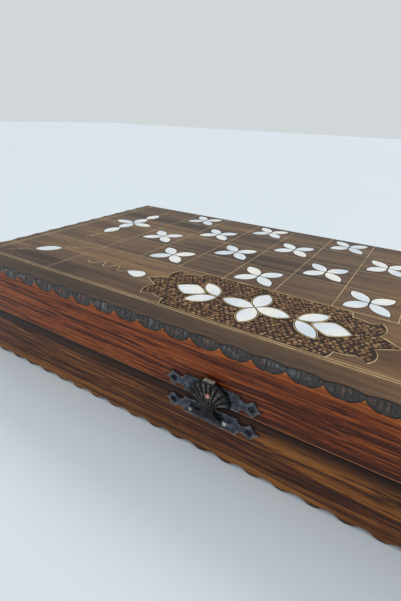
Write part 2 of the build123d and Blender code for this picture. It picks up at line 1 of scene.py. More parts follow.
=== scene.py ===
# %% [markdown]
# # A folding backgammon board in walnut, pearl and brass wire
# The closed board lies on a pale table and is seen from above its front edge, near the latch.
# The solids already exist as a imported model, in metres, with the origin under the middle of the
# box, X along the hinge, Y from the latch to the hinge and Z up. This lesson dresses them: it
# gives every solid a finish, and adds the carving and the small relief that a hand tool leaves.

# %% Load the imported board
import bpy
import bmesh
import json
import math
import random
from mathutils import Matrix, Vector

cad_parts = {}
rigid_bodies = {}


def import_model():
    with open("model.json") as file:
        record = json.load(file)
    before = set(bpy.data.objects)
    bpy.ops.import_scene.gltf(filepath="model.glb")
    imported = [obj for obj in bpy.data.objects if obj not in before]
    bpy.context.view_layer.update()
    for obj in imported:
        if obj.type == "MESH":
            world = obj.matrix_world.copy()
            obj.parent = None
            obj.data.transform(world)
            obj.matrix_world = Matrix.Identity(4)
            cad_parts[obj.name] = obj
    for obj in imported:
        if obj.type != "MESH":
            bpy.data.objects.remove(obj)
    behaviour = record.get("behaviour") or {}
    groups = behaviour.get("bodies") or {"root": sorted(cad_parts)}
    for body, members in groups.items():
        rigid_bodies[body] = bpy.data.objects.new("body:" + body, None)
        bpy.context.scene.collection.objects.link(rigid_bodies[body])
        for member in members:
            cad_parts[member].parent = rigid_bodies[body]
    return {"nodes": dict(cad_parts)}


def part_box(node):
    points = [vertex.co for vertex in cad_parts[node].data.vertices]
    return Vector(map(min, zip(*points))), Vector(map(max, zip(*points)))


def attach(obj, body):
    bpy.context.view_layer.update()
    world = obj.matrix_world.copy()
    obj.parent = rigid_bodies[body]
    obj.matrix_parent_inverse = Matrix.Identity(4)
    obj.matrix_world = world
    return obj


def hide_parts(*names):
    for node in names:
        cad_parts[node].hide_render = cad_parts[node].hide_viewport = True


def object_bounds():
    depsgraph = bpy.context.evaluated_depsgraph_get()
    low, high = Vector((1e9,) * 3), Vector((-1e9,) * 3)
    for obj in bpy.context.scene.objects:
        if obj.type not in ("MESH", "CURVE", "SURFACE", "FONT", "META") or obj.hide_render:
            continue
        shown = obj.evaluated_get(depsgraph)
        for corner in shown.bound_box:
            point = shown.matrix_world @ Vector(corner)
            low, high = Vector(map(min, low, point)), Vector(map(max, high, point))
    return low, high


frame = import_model()
cad_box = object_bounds()
nodes = frame["nodes"]
MM = 0.001


def extent(name, axis):
    """Lowest and highest place of a solid along an axis, in millimetres to the micrometre."""
    return [round(corner[axis] / MM, 3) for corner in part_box(name)]


HALF_LENGTH = extent("lid_front_rail", 0)[1]
HALF_DEPTH = extent("lid_right_rail", 1)[1]
BOARD_HEIGHT = extent("lid_outer_panel", 2)[1]
SEAM = BOARD_HEIGHT / 2
print("solids loaded:", len(nodes))
print("closed board:", 2 * HALF_LENGTH, "x", 2 * HALF_DEPTH, "x", BOARD_HEIGHT, "mm")

# %% [markdown]
# ## Camera
# A camera is a position and three directions. Looking for the vanishing points of the inlay's
# grid gave these numbers, so they are written as they are instead of aiming the camera by eye.
# Blender's camera looks down its own -Z axis, so the third column points backwards.

# %% Camera
PICTURE_HEIGHT = 601
FOCAL_PIXELS = 386.68
VIEWPOINT = (0.0855, -0.2854, 0.1958)
camera_data = bpy.data.cameras.new("camera")
camera = bpy.data.objects.new("camera", camera_data)
bpy.context.scene.collection.objects.link(camera)
right = Vector((0.84936, 0.52658, 0.03609)).normalized()
forward = Vector((-0.46203, 0.77482, -0.43149)).normalized()
up = right.cross(forward).normalized()
pose = Matrix((right, up, -forward)).transposed().to_4x4()
pose.translation = Vector(VIEWPOINT)
camera.matrix_world = pose
camera_data.sensor_fit = "AUTO"
camera_data.sensor_width = 36.0
camera_data.lens = FOCAL_PIXELS * camera_data.sensor_width / PICTURE_HEIGHT
camera_data.clip_start = 0.01
bpy.context.scene.camera = camera
print("camera at", tuple(round(v, 4) for v in pose.translation), "lens", round(camera_data.lens, 2))

# %% [markdown]
# ## Shader maths
# Finishes are built from nodes, and long chains of Math nodes are hard to read. A small class
# that wraps an output socket lets an expression such as `0.4 + 0.2 * grain` add its own nodes.
# Every other node comes from one method, which applies settings before it fills the sockets.

# %% A socket that does arithmetic
class Signal:
    """An output socket that can be used in arithmetic."""

    def __init__(self, tree, socket):
        self.tree = tree
        self.socket = socket

    def maths(self, operation, first, second=0.0):
        return self.tree.node("ShaderNodeMath", {"operation": operation}, {0: first, 1: second})

    def __add__(self, other):
        return self.maths("ADD", self, other)

    def __radd__(self, other):
        return self.maths("ADD", other, self)

    def __sub__(self, other):
        return self.maths("SUBTRACT", self, other)

    def __rsub__(self, other):
        return self.maths("SUBTRACT", other, self)

    def __mul__(self, other):
        return self.maths("MULTIPLY", self, other)

    def __rmul__(self, other):
        return self.maths("MULTIPLY", other, self)

    def __abs__(self):
        return self.maths("ABSOLUTE", self)

    def greater(self, other):
        return self.maths("MAXIMUM", self, other)

    def step(self, low, high):
        """0 below low, 1 above high, and smooth between."""
        settings = {"interpolation_type": "SMOOTHSTEP"}
        sockets = {"Value": self, "From Min": low, "From Max": high}
        return self.tree.node("ShaderNodeMapRange", settings, sockets)


class NodeTree:
    """The nodes of a material or a world, emptied and built anew."""

    def __init__(self, owner):
        owner.use_nodes = True
        self.tree = owner.node_tree
        self.tree.nodes.clear()

    def node(self, kind, settings=None, sockets=None, out=0):
        """Adds a node, applies its settings, fills its sockets and returns one output."""
        made = self.tree.nodes.new(kind)
        for key, value in (settings or {}).items():
            if key == "stops":
                for _ in range(len(value) - 2):
                    made.color_ramp.elements.new(0.5)
                for element, (place, colour) in zip(made.color_ramp.elements, value):
                    element.position = place
                    element.color = (*colour, 1.0)
            else:
                setattr(made, key, value)
        for key, value in (sockets or {}).items():
            named = [s for s in made.inputs if key in (s.identifier, s.name)]
            target = made.inputs[key] if isinstance(key, int) else named[0]
            if isinstance(value, Signal):
                self.tree.links.new(value.socket, target)
            else:
                target.default_value = value
        return Signal(self, made.outputs[out]) if made.outputs else None


class Finish(NodeTree):
    """A material under construction."""

    def __init__(self, name):
        self.material = bpy.data.materials.new(name)
        super().__init__(self.material)

    def place(self):
        """Position on the piece, in metres."""
        return self.node("ShaderNodeTexCoord", out="Object")

    def axis(self, name):
        """Position along X, Y or Z, in metres."""
        return self.node("ShaderNodeSeparateXYZ", None, {0: self.place()}, out=name)

    def scaled(self, scale, shift=(0.0, 0.0, 0.0)):
        return self.node("ShaderNodeMapping", {"vector_type": "POINT"},
                         {"Vector": self.place(), "Scale": scale, "Location": shift})

    def noise(self, vector, scale=1.0, detail=3.0, rough=0.55, twist=0.0):
        sockets = {"Vector": vector, "Scale": scale, "Detail": detail, "Roughness": rough}
        return self.node("ShaderNodeTexNoise", None, {**sockets, "Distortion": twist})

    def ramp(self, factor, stops):
        return self.node("ShaderNodeValToRGB", {"stops": stops}, {"Fac": factor})

    def mix(self, low, high, factor, blend="MIX"):
        def colour(value):
            return value if isinstance(value, Signal) else (*value, 1.0)
        sockets = {"Factor_Float": factor, "A_Color": colour(low), "B_Color": colour(high)}
        settings = {"data_type": "RGBA", "blend_type": blend}
        return self.node("ShaderNodeMix", settings, sockets, out="Result")

    def wear(self):
        """How proud a place is, from 0 to 1, as the mesh code stored it on its points."""
        settings = {"attribute_type": "GEOMETRY", "attribute_name": "wear"}
        return self.node("ShaderNodeAttribute", settings, out="Fac")

    def bump(self, height, distance, strength=1.0):
        return self.node("ShaderNodeBump", None,
                         {"Height": height, "Distance": distance, "Strength": strength})

    def surface(self, sockets):
        """Closes the material with a Principled shader."""
        shader = self.node("ShaderNodeBsdfPrincipled", None, sockets)
        self.node("ShaderNodeOutputMaterial", None, {"Surface": shader})
        return self.material


def srgb(red, green, blue):
    """Colour in screen values, 0 to 255, turned into the linear values that shaders use."""
    def linear(value):
        value = value / 255
        return value / 12.92 if value <= 0.04045 else ((value + 0.055) / 1.055) ** 2.4
    return (linear(red), linear(green), linear(blue))


print("shader helpers ready, for example mid grey is", tuple(round(v, 3) for v in srgb(128, 128, 128)))

# %% [markdown]
# ## Table and light
# The board stands on a plain pale table. Daylight comes from behind it, a little to the right,
# so the inlaid face is lit, the front lies in soft shade, and a pale shadow falls towards the
# viewer. A sun lamp with a wide angle does this evenly, and a wider one from the front left
# lifts the shaded side. The world fills the rest, and what the camera and the reflections see
# of it is a plain pale grey.

# %% Table top
TABLE_HALF_WIDTH = 6.0
TABLE_GAP = 0.0002


def finish_table():
    f = Finish("pale_table")
    tone = f.noise(f.place(), scale=3.0, detail=2.0)
    colour = f.mix(srgb(206, 214, 219), srgb(211, 219, 224), tone)
    return f.surface({"Base Color": colour, "Roughness": 0.55})


table_mesh = bpy.data.meshes.new("table")
sheet = bmesh.new()
bmesh.ops.create_grid(sheet, x_segments=8, y_segments=8, size=TABLE_HALF_WIDTH)
sheet.to_mesh(table_mesh)
sheet.free()
table = bpy.data.objects.new("table", table_mesh)
bpy.context.scene.collection.objects.link(table)
table.location = (0.0, 0.0, cad_box[0][2] - TABLE_GAP)
table_mesh.materials.append(finish_table())
print("table at z =", round(table.location.z, 5))

# %% World and lamps
FILL_STRENGTH = 0.94
world = bpy.data.worlds.new("room")
bpy.context.scene.world = world
room = NodeTree(world)


def ray(kind):
    """1 for rays of one kind and 0 for all others."""
    return room.node("ShaderNodeLightPath", out=f"Is {kind} Ray")


def background(colour, strength):
    return room.node("ShaderNodeBackground", None, {"Color": (*colour, 1.0), "Strength": strength})


seen = ray("Camera").greater(ray("Glossy")).greater(ray("Transmission"))
fill_light = background((0.94, 0.97, 1.0), FILL_STRENGTH)
grey_room = background(srgb(209, 214, 217), 1.0)
choice = room.node("ShaderNodeMixShader", None, {0: seen, 1: fill_light, 2: grey_room})
room.node("ShaderNodeOutputWorld", None, {0: choice})


def sun(name, towards, strength, spread, colour):
    """A lamp at endless distance; towards points from the board to it."""
    data = bpy.data.lights.new(name, "SUN")
    data.energy = strength
    data.angle = math.radians(spread)
    data.color = colour
    made = bpy.data.objects.new(name, data)
    bpy.context.scene.collection.objects.link(made)
    made.rotation_euler = Vector(towards).to_track_quat("Z", "Y").to_euler()


sun("window_light", towards=(0.30, 0.62, 0.74), strength=0.72, spread=20.0, colour=(1.0, 0.99, 0.97))
sun("room_light", towards=(-0.75, -0.45, 0.62), strength=0.50, spread=50.0, colour=(0.97, 0.985, 1.0))
bpy.context.scene.view_settings.view_transform = "Standard"

# %% [markdown]
# ## Wood
# Planks show three things at once: broad figure that wanders along the board, narrow dark
# streaks, and fine pores. Each is a noise texture on stretched coordinates, slow along the
# grain and quick across it. The same layers make every wooden piece, and the colours, the
# direction of the grain and a shift of the pattern differ, so no two boards look cut from one.

# %% Wood recipe
WAX = 0.2
BEND = 0.012


def grain_scale(along, length, across):
    """Noise scale that is low along the grain and high across it."""
    return (length, across, across) if along == "X" else (across, length, across)


def wood_layers(f, along, shift):
    """Wander, figure, streaks and pores, each from 0 to 1."""
    wander = f.noise(f.scaled(grain_scale(along, 5.0, 22.0), shift), detail=2.0)
    drift_at = f.scaled((6, 6, 6), shift)
    drift = f.node("ShaderNodeTexNoise", None, {"Vector": drift_at, "Scale": 1.0}, out="Color")
    bent = f.node("ShaderNodeVectorMath", {"operation": "MULTIPLY_ADD"},
                  {0: drift, 1: (BEND, BEND, BEND), 2: f.place()})

    def stretched(length, across):
        sockets = {"Vector": bent, "Scale": grain_scale(along, length, across), "Location": shift}
        return f.node("ShaderNodeMapping", None, sockets)

    figure = f.noise(stretched(3.5, 90.0), detail=6.0, rough=0.72, twist=0.3)
    streaks = f.noise(stretched(11.0, 620.0), detail=4.0, rough=0.7)
    pores = f.noise(stretched(70.0, 1500.0), detail=2.0)
    return wander, figure, streaks, pores


def finish_wood(name, along, colours, shift, contrast=0.8, rough=0.42, coat=0.03, seam_dark=None):
    """Waxed wood: colours are dark, middle and light."""
    f = Finish(name)
    dark, middle, light = colours
    wander, figure, streaks, pores = wood_layers(f, along, shift)
    tone = f.ramp(0.5 + contrast * (figure - 0.5) + 0.35 * (wander - 0.5),
                  [(0.32, dark), (0.50, middle), (0.68, light)])
    tone = f.mix(tone, dark, 0.95 * streaks.step(0.50, 0.57))
    tone = f.mix(tone, light, 0.85 * (1.0 - streaks.step(0.38, 0.46)))
    tone = f.mix(tone, tuple(0.35 * c for c in dark), 0.6 * pores.step(0.57, 0.68))
    if seam_dark is not None:
        tone = seam_dark(f, tone)
    grip = f.bump(0.6 * pores + 0.4 * streaks, 0.00012, 0.7)
    return f.surface({"Base Color": tone, "Roughness": rough + 0.14 * streaks, "Normal": grip,
                      "Specular IOR Level": WAX, "Coat Weight": coat, "Coat Roughness": 0.22})


print("wood recipe ready; wax reflects", WAX)

# %% [markdown]
# ### Outer panels
# The face of each panel is a greyed walnut. Its edges are a warm orange, bare where the carving
# chisel cut through the stain. One material can do both: the surface normal tells face from
# edge, and the height of the point tells where the carved strip is. The places where it changes
# are pairs in metres, and each change is smooth from the first of the pair to the second.

# %% Panel finish
FACE_WOOD = (srgb(50, 34, 22), srgb(96, 72, 50), srgb(132, 100, 64))
LID_EDGE_WOOD = (srgb(72, 30, 12), srgb(128, 62, 24), srgb(168, 90, 38))
BASE_EDGE_WOOD = (srgb(54, 28, 14), srgb(106, 62, 26), srgb(156, 102, 44))
# Painted reflection: a warm golden sheen laid on the face towards the right.
PAINTED_WARM_SHEEN = srgb(138, 92, 44)
# Painted shadow: the near black of the carving's groove next to the face.
PAINTED_GROOVE_SHADOW = srgb(24, 20, 20)
# Bare wood at the carving's cusps, lightened further as a painted highlight.
BARE_AND_HIGHLIGHT = srgb(214, 140, 70)
PAINTED_WARM_SHEEN_FROM = (0.03, 0.16)
SHADED_UNTIL = (0.02, 0.14)
FRONT_BORDER = (-0.1100, -0.1060)
GROOVE_SHADOW_DEPTH = (0.0009, 0.0022)
BARE_AND_HIGHLIGHT_DEPTH = (0.0030, 0.0048)


def finish_panel(name, shift, edge_colours, outer_level, bare_and_highlight):
    """Panel wood: outer_level is the height of the inlaid face, and the last argument lightens the carving's
    cusps, as bare wood and painted highlight.
    """
    f = Finish(name)
    wander, figure, streaks, pores = wood_layers(f, "X", shift)
    blend = 0.5 + 0.9 * (figure - 0.5) + 0.8 * (wander - 0.5)
    stops = (0.30, 0.52, 0.74)
    face = f.ramp(blend, list(zip(stops, FACE_WOOD)))
    face = f.mix(face, FACE_WOOD[0], 0.75 * streaks.step(0.50, 0.63))
    across = f.axis("X")
    # Painted reflection: the face is painted warmer and more golden towards the right.
    face = f.mix(face, PAINTED_WARM_SHEEN, 0.6 * across.step(*PAINTED_WARM_SHEEN_FROM))
    # Painted shade: the strip in front of the border wire is painted darker, most on the left.
    before_border = 1.0 - f.axis("Y").step(*FRONT_BORDER)
    left = 1.0 - 0.7 * across.step(*SHADED_UNTIL)
    face = f.mix(face, FACE_WOOD[0], 0.6 * before_border * left)
    face = f.mix(face, tuple(0.4 * c for c in FACE_WOOD[0]), 0.6 * pores.step(0.58, 0.70))
    edge = f.ramp(blend, list(zip(stops, edge_colours)))
    edge = f.mix(edge, edge_colours[0], 0.85 * streaks.step(0.49, 0.60))
    edge = f.mix(edge, edge_colours[2], 0.55 * (1.0 - streaks.step(0.36, 0.45)))
    normal = f.node("ShaderNodeNewGeometry", out="True Normal")
    level = f.node("ShaderNodeSeparateXYZ", None, {0: normal}, out="Z")
    depth = abs(f.axis("Z") - outer_level)
    # Bare wood and painted highlight: the cusps 3 to 5 mm below the face are lightened.
    edge = f.mix(edge, BARE_AND_HIGHLIGHT, bare_and_highlight * (1.0 - depth.step(*BARE_AND_HIGHLIGHT_DEPTH)))
    # Painted shadow: the edge within 1 to 2 mm of the face is painted nearly black, as the shade in the
    # carving's groove.
    edge = f.mix(PAINTED_GROOVE_SHADOW, edge, depth.step(*GROOVE_SHADOW_DEPTH))
    tone = f.mix(edge, face, abs(level).step(0.75, 0.9))
    grip = f.bump(0.6 * pores + 0.4 * streaks, 0.00012, 0.7)
    return f.surface({"Base Color": tone, "Roughness": 0.42 + 0.16 * streaks, "Normal": grip,
                      "Specular IOR Level": WAX, "Coat Weight": 0.05, "Coat Roughness": 0.25})


def dress(name, material):
    """Gives a CAD solid one material."""
    mesh = nodes[name].data
    mesh.materials.clear()
    mesh.materials.append(material)


lid_walnut = finish_panel("lid_panel_walnut", (0.3, 0.1, 0.2), LID_EDGE_WOOD, MM * BOARD_HEIGHT, 0.75)
base_walnut = finish_panel("base_panel_walnut", (2.3, 1.7, 0.9), BASE_EDGE_WOOD, 0.0, 0.0)
dress("lid_outer_panel", lid_walnut)
dress("base_outer_panel", base_walnut)
print("panels dressed")

# %% [markdown]
# ### Rails
# The rails were stained redder than the panels. Along the seam where the halves meet they are
# darker in a band in height, strongest on the base, the very edge is painted dark as shade, and
# the lid's arris beside it is lightened, partly rubbed and partly as painted highlight.

# %% Rail finishes
RAIL_WOOD = (srgb(56, 22, 10), srgb(108, 48, 20), srgb(150, 78, 32))
BASE_RAIL_WOOD = (srgb(46, 22, 12), srgb(94, 50, 22), srgb(144, 90, 38))


ARRIS = srgb(176, 120, 86)
SEAM_LINE = (0.0007, 0.0012)
ARRIS_START, ARRIS_END = (0.0007, 0.0010), (0.0012, 0.0018)


def seam_band(dark, strength, reach, rub_and_painted_light):
    """Darkens a wide band round the seam and paints the very edge dark as shade; the last argument lightens
    the arris next to it, partly as rubbing and partly as painted highlight.
    """
    def darken(f, tone):
        away = abs(f.axis("Z") - MM * SEAM)
        ripple = f.noise(f.scaled((9, 9, 60)), detail=3.0)
        shade = strength * (1.0 - away.step(0.0, reach)) * (0.5 + ripple)
        tone = f.mix(tone, tuple(0.30 * c for c in dark), shade)
        # The arris beside the seam is lightened, partly rubbed and partly painted highlight.
        arris = away.step(*ARRIS_START) * (1.0 - away.step(*ARRIS_END))
        tone = f.mix(tone, ARRIS, rub_and_painted_light * arris)
        # Painted shade: the very edge at the seam is painted dark.
        return f.mix(tuple(0.6 * c for c in dark), tone, away.step(*SEAM_LINE))
    return darken


SEAMS = {"lid": (RAIL_WOOD, 0.3, 0.005, 0.6), "base": (BASE_RAIL_WOOD, 0.9, 0.013, 0.0)}
for half, (colours, strength, reach, rub_and_painted_light) in SEAMS.items():
    seam = seam_band(colours[0], strength, reach, rub_and_painted_light)
    for k, side in enumerate(("front", "back", "left", "right")):
        along = "X" if side in ("front", "back") else "Y"
        shift = (0.7 * k + (half == "lid"), 1.3 * k, 0.4 * k)
        name = f"{half}_{side}_rail"
        dress(name, finish_wood(f"{name}_walnut", along, colours, shift, contrast=0.75, seam_dark=seam))
print("rails dressed")

# %% [markdown]
# ### Inside
# Opened, each tray shows a plain walnut floor with twelve long points let into it, half of
# them in a light wood and half in a dark one.

# %% Inner finishes
FLOOR_WOOD = (srgb(70, 42, 26), srgb(112, 70, 42), srgb(140, 92, 56))
LIGHT_WOOD = (srgb(170, 130, 84), srgb(206, 170, 118), srgb(226, 196, 148))
DARK_WOOD = (srgb(28, 15, 10), srgb(50, 28, 19), srgb(74, 43, 28))
POINTS = (("light", LIGHT_WOOD, (0.9, 0.6)), ("dark", DARK_WOOD, (0.2, 0.8)))
for k, half in enumerate(("lid", "base")):
    dress(f"{half}_field_board", finish_wood(f"{half}_tray_floor", "Y", FLOOR_WOOD, (k, 0.5, 0.1)))
    for tone, colours, shift in POINTS:
        veneer = finish_wood(f"{half}_{tone}_veneer", "X", colours, (k, *shift), rough=0.36)
        dress(f"{half}_{tone}_points", veneer)
print("trays dressed")

# %% [markdown]
# ## Pearl and wire
# Mother of pearl is chalky layers that shift between grey, blue and cream, with a polished
# skin. Slow noise picks the tint of each petal, faster stretched noise draws its layers, and a
# clear coat gives the polish. The wires are thin brass, dulled by wax, so they read as pale
# straw lines more than as metal.

# %% Pearl and wire finishes
PEARL_TINTS = (srgb(196, 206, 212), srgb(216, 220, 220), srgb(228, 224, 210))
WIRE_TINTS = (srgb(150, 128, 84), srgb(192, 168, 116), srgb(220, 200, 152))


def finish_pearl():
    f = Finish("mother_of_pearl")
    tint = f.noise(f.scaled((34, 34, 34)), detail=1.0)
    layers = f.noise(f.scaled((420, 120, 200)), detail=4.0, twist=1.4)
    tone = f.ramp(tint, list(zip((0.34, 0.50, 0.66), PEARL_TINTS)))
    tone = f.mix(tone, srgb(168, 180, 188), 0.35 * layers.step(0.50, 0.75))
    rosy = f.noise(f.scaled((150, 90, 100)), detail=2.0)
    glow = f.mix(tone, srgb(196, 182, 198), 0.30 * rosy.step(0.55, 0.75))
    skin = f.bump(layers, 0.00008, 0.5)
    return f.surface({"Base Color": glow, "Roughness": 0.22 + 0.15 * layers, "Normal": skin,
                      "Coat Weight": 0.6, "Coat Roughness": 0.08})


def finish_wire():
    f = Finish("waxed_brass_wire")
    dull = f.noise(f.scaled((90, 90, 90)), detail=3.0)
    tone = f.ramp(dull, list(zip((0.30, 0.55, 0.78), WIRE_TINTS)))
    return f.surface({"Base Color": tone, "Roughness": 0.34 + 0.2 * dull, "Metallic": 0.3})


for ending, material in (("_petals", finish_pearl()), ("_wires", finish_wire())):
    inlaid = [name for name in nodes if name.endswith(ending)]
    for name in inlaid:
        dress(name, material)
    print(material.name, "on", len(inlaid), "nodes")

# %% [markdown]
# ## Metal
# The latch is cast and blackened. Its hollows are painted darker as shade and its crests paler, partly
# rubbed bare and partly as painted highlight. The nails are dark, the ends of the pin are painted
# pale as a highlight and the stud is coppery. The back hinges are plain aged brass.

# %% Metal finishes
def finish_metal(name, deep, middle, bright, rough, metal, spots=0.5, rub_and_painted_light=False):
    """Patchy metal with bright spots; the last argument, for a mesh that stores how proud each point is,
    paints its hollows dark as shade and its crests pale, partly as rubbing and partly as painted highlight.
    """
    f = Finish(name)
    patch = f.noise(f.scaled((260, 260, 260)), detail=4.0, rough=0.65)
    grit = f.noise(f.scaled((1800, 1800, 1800)), detail=2.0)
    tone = f.mix(deep, middle, patch.step(0.42, 0.66))
    tone = f.mix(tone, bright, spots * grit.step(0.62, 0.78))
    if rub_and_painted_light:
        # Painted shade and highlight: the hollows are painted nearly black and the crests pale, the pale
        # partly as rubbing.
        proud = f.wear()
        tone = f.mix(srgb(10, 10, 12), tone, proud.step(0.35, 0.85))
        tone = f.mix(tone, bright, 0.60 * (proud + 0.9 * (patch - 0.5)).step(0.88, 1.10))
    skin = f.bump(0.6 * patch + 0.4 * grit, 0.00015, 0.6)
    return f.surface({"Base Color": tone, "Roughness": rough + 0.2 * patch, "Metallic": metal,
                      "Normal": skin})


bronze = finish_metal("blackened_bronze", srgb(46, 50, 58), srgb(92, 100, 114), srgb(150, 150, 152),
                      rough=0.34, metal=0.55)
cast_fan = finish_metal("cast_fan_bronze", srgb(28, 28, 31), srgb(52, 50, 52), srgb(124, 112, 102),
                        rough=0.3, metal=0.55, spots=0.35, rub_and_painted_light=True)
# Painted highlight: a pale metal for the glints on the ends of the pin and on the lip.
glint = finish_metal("pale_glint_metal", srgb(140, 132, 124), srgb(200, 192, 182), srgb(232, 226, 216),
                     rough=0.35, metal=0.25)
brass = finish_metal("aged_hinge_brass", srgb(120, 92, 48), srgb(176, 142, 82), srgb(214, 186, 128),
                     rough=0.3, metal=0.9)
dark_nail = finish_metal("dark_nail", srgb(20, 20, 24), srgb(42, 42, 48), srgb(90, 86, 84),
                         rough=0.35, metal=0.8)
pink_stud = finish_metal("coppery_stud", srgb(140, 96, 82), srgb(196, 154, 136), srgb(232, 206, 190),
                         rough=0.35, metal=0.35)
worn_edge = finish_metal("worn_edge", srgb(78, 76, 76), srgb(132, 122, 112), srgb(206, 194, 180),
                         rough=0.4, metal=0.3, spots=0.6)
METAL = {"lid_latch_plate": bronze, "base_latch_plate": bronze, "hasp": bronze, "latch_stud": pink_stud,
         "hasp_pin": glint, "lid_latch_nails": dark_nail, "base_latch_nails": dark_nail}
for name in nodes:
    if name in METAL:
        dress(name, METAL[name])
    elif "hinge" in name:
        dress(name, brass)
print("metal parts dressed:", sum(name in METAL or "hinge" in name for name in nodes))

# %% [markdown]
# ## Latch
# The hasp is a cast fan. Nine rounded ribs spring from a narrow waist, like the jets of a
# fountain, and end in a lobed rim. A grid is the natural mesh for it: one way runs across the
# ribs, the other from the waist to the rim, along a Bezier curve that differs from rib to rib.
# A second grid makes the tent-shaped root that wraps round the barrel. Both are closed slabs.
# Sizes from here on are in millimetres.

# %% Mesh helpers
PLAIN_PROUDNESS = 0.7


def add_piece(name, mesh, material, body):
    """Links a mesh as a named piece on a body."""
    piece = bpy.data.objects.new(name, mesh)
    bpy.context.scene.collection.objects.link(piece)
    mesh.materials.append(material)
    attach(piece, body)
    return piece


def circle(sides):
    """Cosine and sine of evenly spaced turns."""
    turns = [2 * math.pi * k / sides for k in range(sides)]
    return [(math.cos(turn), math.sin(turn)) for turn in turns]


def arc_through(a, b, c, count):
    """Points along the circle through three points, without the last."""
    (ax, ay), (bx, by), (cx, cy) = a, b, c
    double_area = 2 * (ax * (by - cy) + bx * (cy - ay) + cx * (ay - by))
    from_a, from_b, from_c = (x * x + y * y for x, y in (a, b, c))
    ux = (from_a * (by - cy) + from_b * (cy - ay) + from_c * (ay - by)) / double_area
    uy = (from_a * (cx - bx) + from_b * (ax - cx) + from_c * (bx - ax)) / double_area
    start, middle, end = (math.atan2(y - uy, x - ux) for x, y in (a, b, c))
    sweep = (end - start) % (2 * math.pi)
    if (middle - start) % (2 * math.pi) > sweep:
        sweep -= 2 * math.pi
    radius = math.hypot(ax - ux, ay - uy)
    turns = [start + sweep * k / count for k in range(count)]
    return [(ux + radius * math.cos(t), uy + radius * math.sin(t)) for t in turns]


def latch_place(across, rise, out):
    """Millimetres along the board, up from the seam and out from the front, in world metres."""
    return (MM * across, MM * (-HALF_DEPTH - out), MM * (SEAM + rise))


def join_rings(bm, rings):
    """Faces between each ring of vertices and the next."""
    for ring, following in zip(rings, rings[1:]):
        for k, vert in enumerate(ring):
            j = (k + 1) % len(ring)
            bm.faces.new((vert, ring[j], following[j], following[k]))


def add_slab(bm, top, bottom):
    """Closed slab between two grids of points with the same rows and columns."""
    layer = bm.verts.layers.float.get("wear") or bm.verts.layers.float.new("wear")
    sheets = []
    for sheet in (top, bottom):
        sheets.append([])
        for row in sheet:
            sheets[-1].append([])
            for point in row:
                vert = bm.verts.new(latch_place(*point[:3]))
                vert[layer] = point[3] if len(point) > 3 else PLAIN_PROUDNESS
                sheets[-1][-1].append(vert)
    rows, columns = len(top), len(top[0])
    for sheet in sheets:
        for j in range(rows - 1):
            for i in range(columns - 1):
                bm.faces.new((sheet[j][i], sheet[j][i + 1], sheet[j + 1][i + 1], sheet[j + 1][i]))
    rim = [(0, i) for i in range(columns)] + [(j, columns - 1) for j in range(1, rows)]
    rim += [(rows - 1, i) for i in range(columns - 2, -1, -1)] + [(j, 0) for j in range(rows - 2, 0, -1)]
    for (j, i), (m, n) in zip(rim, rim[1:] + rim[:1]):
        bm.faces.new((sheets[0][j][i], sheets[0][m][n], sheets[1][m][n], sheets[1][j][i]))


def mesh_from(name, bm, smooth=True):
    """Turns a closed shape into a mesh with its faces outwards."""
    bmesh.ops.recalc_face_normals(bm, faces=bm.faces)
    mesh = bpy.data.meshes.new(name)
    bm.to_mesh(mesh)
    bm.free()
    if smooth:
        mesh.shade_smooth()
    return mesh


print("a point on the seam, 2 mm out:", [round(v, 4) for v in latch_place(0, 0, 2)])

# %% Fan
RIBS = 9
RIB_COLUMNS = 16
FAN_ROWS = 30
RIM = [(0.0, 17.2), (3.8, 16.8), (7.6, 14.6), (11.0, 11.4), (13.2, 8.0), (13.9, 4.0)]
LOBE, LOBE_SINK = 0.55, 0.3
WAIST_HALF, WAIST_RISE = 3.2, -4.2
PULL_OUT, PULL_RISE, PULL_DROP = 5.0, 5.5, 1.5
HASP_BACK = 2.0
FAN_THICK, FAN_BELLY = 1.0, 0.5
ROLL_START, ROLL_REST, ROLL_DEPTH = 0.88, 0.12, 0.6


def rim_point(share):
    """Rim of the fan at a share from 0 in the middle to 1 at the side, as a smooth spline."""
    place = min(share, 0.9999) * (len(RIM) - 1)
    k = int(place)
    u = place - k
    before, start, end, after = (RIM[max(0, min(len(RIM) - 1, k + d))] for d in (-1, 0, 1, 2))
    if k == 0:
        before = (-RIM[1][0], RIM[1][1])
    return [0.5 * (2 * start[i] + (end[i] - before[i]) * u
                   + (2 * before[i] - 5 * start[i] + 4 * end[i] - after[i]) * u * u
                   + (3 * start[i] - before[i] - 3 * end[i] + after[i]) * u ** 3) for i in (0, 1)]


def rib_round(across):
    """Half circle over each rib, from 0 in the grooves to 1 on the crest."""
    lobe = (abs(across) * RIBS / 2 + 0.5) % 1.0
    return math.sqrt(max(0.0, 1 - (2 * lobe - 1) ** 2))


def swell(along):
    """Ribs grow from half their height at the waist to one and a half at the rim."""
    return 0.5 + 1.0 * along


def fan_point(across, along):
    """Place in the fan's plane, with across from -1 to 1 and along from 0 to 1."""
    side = -1 if across < 0 else 1
    share = abs(across)
    rim_x, rim_y = rim_point(share)
    rim_y += LOBE * rib_round(across) - LOBE_SINK
    root = (WAIST_HALF * share, WAIST_RISE)
    pull = (PULL_OUT * share, PULL_RISE - PULL_DROP * share * share)
    weights = ((1 - along) ** 2, 2 * along * (1 - along), along * along)
    x = sum(w * p for w, p in zip(weights, (root[0], pull[0], rim_x)))
    y = sum(w * p for w, p in zip(weights, (root[1], pull[1], rim_y)))
    return side * x, y


def rib_rise(across, along):
    """Round ribs that swell towards the rim and roll off at its edge."""
    roll = 1.0 - ROLL_DEPTH * max(0.0, (along - ROLL_START) / ROLL_REST) ** 2
    return roll * swell(along) * rib_round(across)


